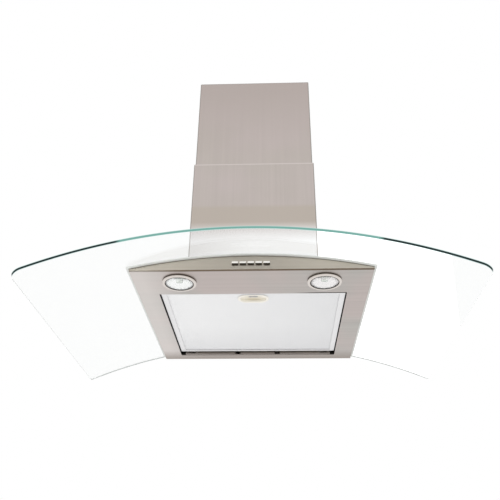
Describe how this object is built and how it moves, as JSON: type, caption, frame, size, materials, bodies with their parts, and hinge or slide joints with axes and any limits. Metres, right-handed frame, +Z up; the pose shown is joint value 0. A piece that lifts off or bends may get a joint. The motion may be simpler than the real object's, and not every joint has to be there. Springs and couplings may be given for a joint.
{
  "type": "range_hood",
  "caption": "Ceiling-hung range hood: arched glass canopy, square telescopic steel chimney, push buttons, lamps and a hinged grease filter, drawing kitchen fumes up a duct",
  "frame": {"origin": "middle of the ceiling plate's upper face, on the axis of the ceiling bolts and of the duct", "axes": "+X to the right of someone facing the buttons, +Y from the buttons to the back, +Z up"},
  "size_m": [0.898, 0.607, 0.6772],
  "materials": {
    "chimney_steel": "satin",
    "body_steel": "satin",
    "panel_steel": "satin",
    "zinc_plate": "satin",
    "clear_glass": "polished",
    "lens_glass": "polished",
    "bulb_glass": "polished",
    "pale_seal": "matte",
    "dark_rubber": "matte",
    "chrome_trim": "polished",
    "bright_screws": "satin",
    "spring_steel": "polished",
    "filter_aluminium": "satin",
    "mesh_pad": "satin",
    "reflector_aluminium": "polished",
    "lamp_shell": "satin",
    "cream_plastic": "satin",
    "black_plastic": "matte",
    "grey_plastic": "matte",
    "white_plastic": "satin",
    "motor_paint": "satin"
  },
  "bodies": {
    "ceiling_frame": {"ceiling_plate": "zinc_plate", "upper_upright_front_left": "zinc_plate", "upper_upright_front_right": "zinc_plate", "upper_upright_rear_left": "zinc_plate", "upper_upright_rear_right": "zinc_plate", "upper_chimney": "chimney_steel", "upper_chimney_screws": "bright_screws"},
    "canopy": {"lower_chimney": "chimney_steel", "lower_chimney_screws": "bright_screws", "clamp_screws": "bright_screws", "collar_screws": "bright_screws", "chimney_brackets": "zinc_plate", "blower_box": "zinc_plate", "canopy_top": "body_steel", "bottom_pan": "body_steel", "control_panel": "panel_steel", "glass_canopy": "clear_glass", "glass_gasket": "pale_seal", "glass_bolts": "chrome_trim", "glass_washers": "dark_rubber", "switch_block": "black_plastic", "filter_leaf_springs": "spring_steel", "scroll_front": "black_plastic", "scroll_rear": "black_plastic", "motor": "motor_paint", "motor_spider": "zinc_plate", "outlet_collar": "black_plastic", "flap_pin": "spring_steel", "terminal_box": "grey_plastic", "lamp_transformer": "white_plastic", "capacitor": "white_plastic", "lower_upright_front_left": "zinc_plate", "lower_upright_front_right": "zinc_plate", "lower_upright_rear_left": "zinc_plate", "lower_upright_rear_right": "zinc_plate", "lamp_can_left": "lamp_shell", "lamp_reflector_left": "reflector_aluminium", "lamp_bulb_left": "bulb_glass", "lamp_lens_left": "lens_glass", "lamp_ring_left": "chrome_trim", "lamp_can_right": "lamp_shell", "lamp_reflector_right": "reflector_aluminium", "lamp_bulb_right": "bulb_glass", "lamp_lens_right": "lens_glass", "lamp_ring_right": "chrome_trim"},
    "filter": {"filter_frame": "filter_aluminium", "filter_mesh": "filter_aluminium", "filter_core": "mesh_pad", "latch_cup": "cream_plastic"},
    "latch": {"filter_latch": "bright_screws"},
    "impeller": {"impeller": "grey_plastic", "motor_shaft": "spring_steel"},
    "flap_left": {"flap_left": "black_plastic"},
    "flap_right": {"flap_right": "black_plastic"},
    "button_1": {"push_button_1": "chrome_trim"},
    "button_2": {"push_button_2": "chrome_trim"},
    "button_3": {"push_button_3": "chrome_trim"},
    "button_4": {"push_button_4": "chrome_trim"},
    "button_5": {"push_button_5": "chrome_trim"}
  },
  "joints": [
    {"name": "height_adjust", "type": "slide", "parent": "ceiling_frame", "child": "canopy", "axis": [0, 0, 1], "range_m": [-0.14, 0.06]},
    {"name": "filter_swing", "type": "hinge", "parent": "canopy", "child": "filter", "pos_m": [0, 0.20775, -0.61075], "axis": [1, 0, 0], "range_deg": [0, 75]},
    {"name": "latch_slide", "type": "slide", "parent": "filter", "child": "latch", "axis": [0, 1, 0], "range_m": [0, 0.006], "stiffness_N_per_m": 400},
    {"name": "fan_spin", "type": "hinge", "parent": "canopy", "child": "impeller", "pos_m": [-0.045, 0, -0.45888], "axis": [0, 1, 0], "continuous": true},
    {"name": "flap_left_swing", "type": "hinge", "parent": "canopy", "child": "flap_left", "pos_m": [0, 0, -0.298], "axis": [0, 1, 0], "range_deg": [0, 75]},
    {"name": "flap_right_swing", "type": "hinge", "parent": "canopy", "child": "flap_right", "pos_m": [0, 0, -0.298], "axis": [0, -1, 0], "range_deg": [0, 75]},
    {"name": "button_1_press", "type": "slide", "parent": "canopy", "child": "button_1", "axis": [0, 1, 0], "range_m": [0, 0.003], "stiffness_N_per_m": 600},
    {"name": "button_2_press", "type": "slide", "parent": "canopy", "child": "button_2", "axis": [0, 1, 0], "range_m": [0, 0.003], "stiffness_N_per_m": 600},
    {"name": "button_3_press", "type": "slide", "parent": "canopy", "child": "button_3", "axis": [0, 1, 0], "range_m": [0, 0.003], "stiffness_N_per_m": 600},
    {"name": "button_4_press", "type": "slide", "parent": "canopy", "child": "button_4", "axis": [0, 1, 0], "range_m": [0, 0.003], "stiffness_N_per_m": 600},
    {"name": "button_5_press", "type": "slide", "parent": "canopy", "child": "button_5", "axis": [0, 1, 0], "range_m": [0, 0.003], "stiffness_N_per_m": 600}
  ]
}
